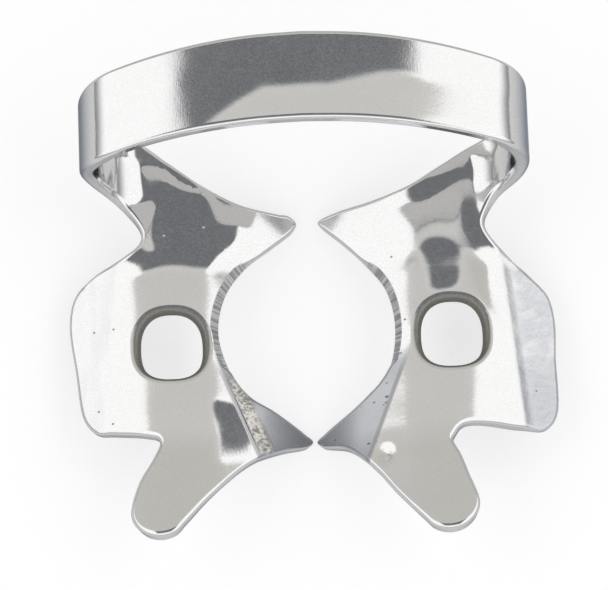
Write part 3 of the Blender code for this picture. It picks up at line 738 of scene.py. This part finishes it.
def makeSteel():
    look = steelLook
    material = bpy.data.materials.new("polishedSteel")
    material.use_nodes = True
    tree = material.node_tree
    shader = tree.nodes["Principled BSDF"]
    place = addNode(tree, "ShaderNodeAttribute", dict(attribute_name="blank"), {}, "Vector")
    zone = addNode(tree, "ShaderNodeAttribute", dict(attribute_name="zone"), {}, "Vector")
    q, t, w = (addNode(tree, "ShaderNodeSeparateXYZ", {}, {0: place}, axis) for axis in "XYZ")
    wall, ground, walk = (addNode(tree, "ShaderNodeSeparateXYZ", {}, {0: zone}, axis) for axis in "XYZ")
    s = halfLength - q.joined("ABSOLUTE", q)
    onRight = step(tree, q, *area["rightHalf"])
    upper = step(tree, w, *area["upperFace"])

    def past(line):
        (ax, at), (bx, bt) = line
        length = math.hypot(bx - ax, bt - at)
        return (s - ax) * ((bt - at) / length) - (t - at) * ((bx - ax) / length)

    def before(value, end):
        return 1 - step(tree, value, *area[end])

    def grained(name, on=place):
        return noise(tree, on, *texture[name])

    def patches(name, level):
        return step(tree, grained(name), *texture[level])

    # frosted right wing, past its crease
    wing = before(past(jaw["wingCrease"]), "wingEdge") * before(t, "wingBack") * upper
    frosted = wing * onRight
    smear = wing * (1 - onRight) * patches("smear", "smearFrom")
    # ground facets on the mesial prongs, duller as ground steel and painted darker on the left and lighter
    # on the right, with painted shade along their creases, and the rough strip on the left
    beside = past(jaw["facetCrease"])
    sooner = onRight * area["facetSoonerOnRight"]
    facet = step(tree, beside + sooner, *area["facetEdge"]) * before(t, "facetBack") * upper
    crease = step(tree, beside, *area["creaseFrom"]) * before(beside, "creaseTo")
    crease = crease * before(t, "creaseBack") * upper
    strip = step(tree, beside, *area["stripFrom"]) * before(beside, "stripTo") * upper
    strip = strip * step(tree, t, *area["stripFront"]) * before(t, "stripBack") * (1 - onRight)
    # ground marks across the bite, a few pits, and painted shade on the bow's outer sides
    along, across = walk * texture["hatchAlong"], w * texture["hatchAcross"]
    marks = addNode(tree, "ShaderNodeCombineXYZ", {}, {0: along, 1: across})
    pits = dots(tree, place, *texture["pits"]) * patches("pitPatch", "pitsFrom") * upper
    facetPits = dots(tree, place, *texture["facetPits"]) * patches("crowd", "crowdFrom")
    facetPits = facetPits * facet * onRight
    sides = step(tree, s, *area["bowSideFrom"]) * before(s, "bowSideTo") * before(w, "outerFace")

    hatch = grained("hatch", marks)
    gouges = grained("gouges")
    colour = mix(tree, patches("grain", "grainFrom"), look["grainColour"], look["colour"])
    colour = mix(tree, frosted * patches("frostPatch", "frostFrom"), colour, look["frostColour"])
    low = frosted * before(t, "lowWing") * look["lowFrost"]
    colour = mix(tree, low, colour, look["lowFrostColour"])
    colour = mix(tree, smear * look["smear"], colour, look["frostColour"])
    # facets: their own duller ground tone, plus painted shade on the left facet and painted light on the
    # right one
    colour = mix(tree, facet, colour, mix(tree, onRight, *look["facetLitAndShadedColours"]))
    # painted shade: a darker line along each facet crease
    colour = mix(tree, crease * look["creaseShade"], colour, look["paintedCreaseShadeColour"])
    colour = mix(tree, facetPits, colour, look["pitColour"])
    colour = mix(tree, pits * look["pitShade"], colour, look["pitColour"])
    scored = ground * step(tree, hatch, *texture["hatchFrom"])
    colour = mix(tree, scored, colour, look["groundColour"])
    rough = mix(tree, step(tree, gouges, *texture["gougesFrom"]), *look["stripColours"])
    colour = mix(tree, strip, colour, rough)
    # painted shade: the hole walls darkened to dark olive, standing in for dark reflections
    colour = mix(tree, wall, colour, look["paintedWallShadeColour"])
    # painted shade: the bow's outer sides darkened, the left more than the right, standing in for dark
    # reflections
    colour = mix(tree, sides, colour, mix(tree, onRight, *look["paintedSideShadeColours"]))
    tree.links.new(colour.socket, shader.inputs["Base Color"])
    haze = patches("haze", "hazeFrom") * (grained("hazeDrift") + look["hazeLeast"])
    tree.links.new((1 - haze * look["haze"]).socket, shader.inputs["Metallic"])
    shader.inputs["Specular Tint"].default_value = look["grazingTint"]
    blotch = grained("blotch")
    roughness = look["roughness"] + (blotch - 0.5) * look["mottle"] + wall * look["wallRoughness"]
    roughness = roughness + frosted * look["frostRoughness"] + ground * look["groundRoughness"]
    roughness = roughness + strip * look["stripRoughness"] + facet * look["facetRoughness"]
    tree.links.new(roughness.socket, shader.inputs["Roughness"])
    height = grained("wave") * look["wave"] + grained("speckle") * look["speckle"]
    height = height + grained("streak") * look["streak"] + grained("dapple") * look["dapple"]
    height = height + grained("frost") * frosted * look["frost"] + hatch * ground * look["ground"]
    height = height + grained("wallGrain") * wall * look["wallGrain"]
    height = height + gouges * strip * look["stripRelief"] - (pits + facetPits) * look["pit"]
    bump = {"Height": height, "Distance": mm, "Strength": 1.0}
    tree.links.new(addNode(tree, "ShaderNodeBump", {}, bump).socket, shader.inputs["Normal"])
    return material


mesh.materials.append(makeSteel())
print("steel made")

stage = dict(
    floorSize=3.0, below=0.00002, floorColour=(0.50, 0.50, 0.50, 1), lift=0.64, mirroredLift=0.34,
)


def makeFloor():
    size = stage["floorSize"]
    floorMesh = bpy.data.meshes.new("paleFloor")
    corners = [(-size, -size, 0), (size, -size, 0), (size, size, 0), (-size, size, 0)]
    floorMesh.from_pydata(corners, [], [(0, 1, 2, 3)])
    floor = bpy.data.objects.new("paleFloor", floorMesh)
    floor.location.z = -stage["below"]
    bpy.context.scene.collection.objects.link(floor)
    material = bpy.data.materials.new("palePaper")
    material.use_nodes = True
    tree = material.node_tree
    tree.nodes.clear()
    paths = tree.nodes.new("ShaderNodeLightPath")
    seen = Wire(tree, paths.outputs["Is Camera Ray"]) * stage["lift"]
    seen = seen + Wire(tree, paths.outputs["Is Glossy Ray"]) * stage["mirroredLift"]
    paper = addNode(tree, "ShaderNodeBsdfDiffuse", {}, {"Color": stage["floorColour"]})
    glow = addNode(tree, "ShaderNodeEmission", {}, {"Color": (1, 1, 1, 1), "Strength": seen})
    both = addNode(tree, "ShaderNodeAddShader", {}, {0: paper, 1: glow})
    addNode(tree, "ShaderNodeOutputMaterial", {}, {"Surface": both})
    floorMesh.materials.append(material)


makeFloor()
print("floor made")


# What the steel mirrors, by direction: a pale tent, a beige wall behind the clamp, the dark shape
# of whoever stands over it, and a grey rim all round at table height
tent = dict(
    pale=(1.16, 1.16, 1.17, 1), beige=(0.567, 0.557, 0.528, 1), paleBeige=(0.71, 0.705, 0.685, 1),
    dark=(0.16, 0.165, 0.178, 1), rim=(0.26, 0.265, 0.28, 1), rimHeight=0.42,
    beigeHalf=0.37, beigeFrom=0.36, beigeMiddle=-0.03, deepFrom=0.50, widerFrom=0.36, widening=1.5,
    darkFrom=-0.55, darkSides=(-0.46, 0.42), soft=0.075, farSoft=0.225, sideSoft=0.03,
)


def makeWorld():
    world = bpy.data.worlds.new("studio")
    bpy.context.scene.world = world
    world.use_nodes = True
    tree = world.node_tree
    tree.nodes.clear()
    direction = addNode(tree, "ShaderNodeTexCoord", {}, {}, "Generated")
    x, y, z = (addNode(tree, "ShaderNodeSeparateXYZ", {}, {0: direction}, axis) for axis in "XYZ")
    soft, sideSoft = tent["soft"], tent["sideSoft"]
    wider = y.joined("MAXIMUM", y - tent["widerFrom"]) * tent["widening"]
    aside = x - tent["beigeMiddle"]
    behind = step(tree, y, tent["beigeFrom"], soft)
    aside = aside.joined("ABSOLUTE", aside) - wider
    beige = behind * (1 - step(tree, aside, tent["beigeHalf"], sideSoft))
    dark = step(tree, y, tent["darkFrom"], tent["farSoft"]) * (1 - behind)
    fromX, toX = tent["darkSides"]
    dark = dark * step(tree, x, fromX, sideSoft) * (1 - step(tree, x, toX, sideSoft))
    above = step(tree, z, tent["rimHeight"] / 2, tent["rimHeight"] / 2)
    deep = step(tree, y, tent["deepFrom"], tent["farSoft"])
    wall = mix(tree, deep, tent["paleBeige"], tent["beige"])
    colour = mix(tree, beige, tent["pale"], wall)
    colour = mix(tree, dark, colour, tent["dark"])
    colour = mix(tree, above, tent["rim"], colour)
    light = addNode(tree, "ShaderNodeBackground", {}, {"Color": colour, "Strength": 1.0})
    addNode(tree, "ShaderNodeOutputWorld", {}, {"Surface": light})


makeWorld()
print("tent made")

camera = dict(
    aim=(-0.371, 0.986, 2.320), elevation=72, roll=2.1, distance=300, lens=347.6, sensor=36,
    clip=(0.01, 20),
)


def makeCamera():
    up = math.radians(camera["elevation"])
    roll = math.radians(camera["roll"])
    away = Vector((0, -math.cos(up), math.sin(up)))
    across = Vector((1, 0, 0))
    upwards = Vector((0, math.sin(up), math.cos(up)))
    turned = across * math.cos(roll) - upwards * math.sin(roll)
    raised = across * math.sin(roll) + upwards * math.cos(roll)
    data = bpy.data.cameras.new("camera")
    data.sensor_width = camera["sensor"]
    data.lens = camera["lens"]
    data.clip_start, data.clip_end = camera["clip"]
    body = bpy.data.objects.new("camera", data)
    axes = Matrix((turned, raised, away)).transposed().to_4x4()
    body.matrix_world = Matrix.Translation((Vector(camera["aim"]) + away * camera["distance"]) * mm) @ axes
    bpy.context.scene.collection.objects.link(body)
    bpy.context.scene.camera = body


makeCamera()
bpy.context.scene.view_settings.view_transform = "Standard"
print("camera and light set")
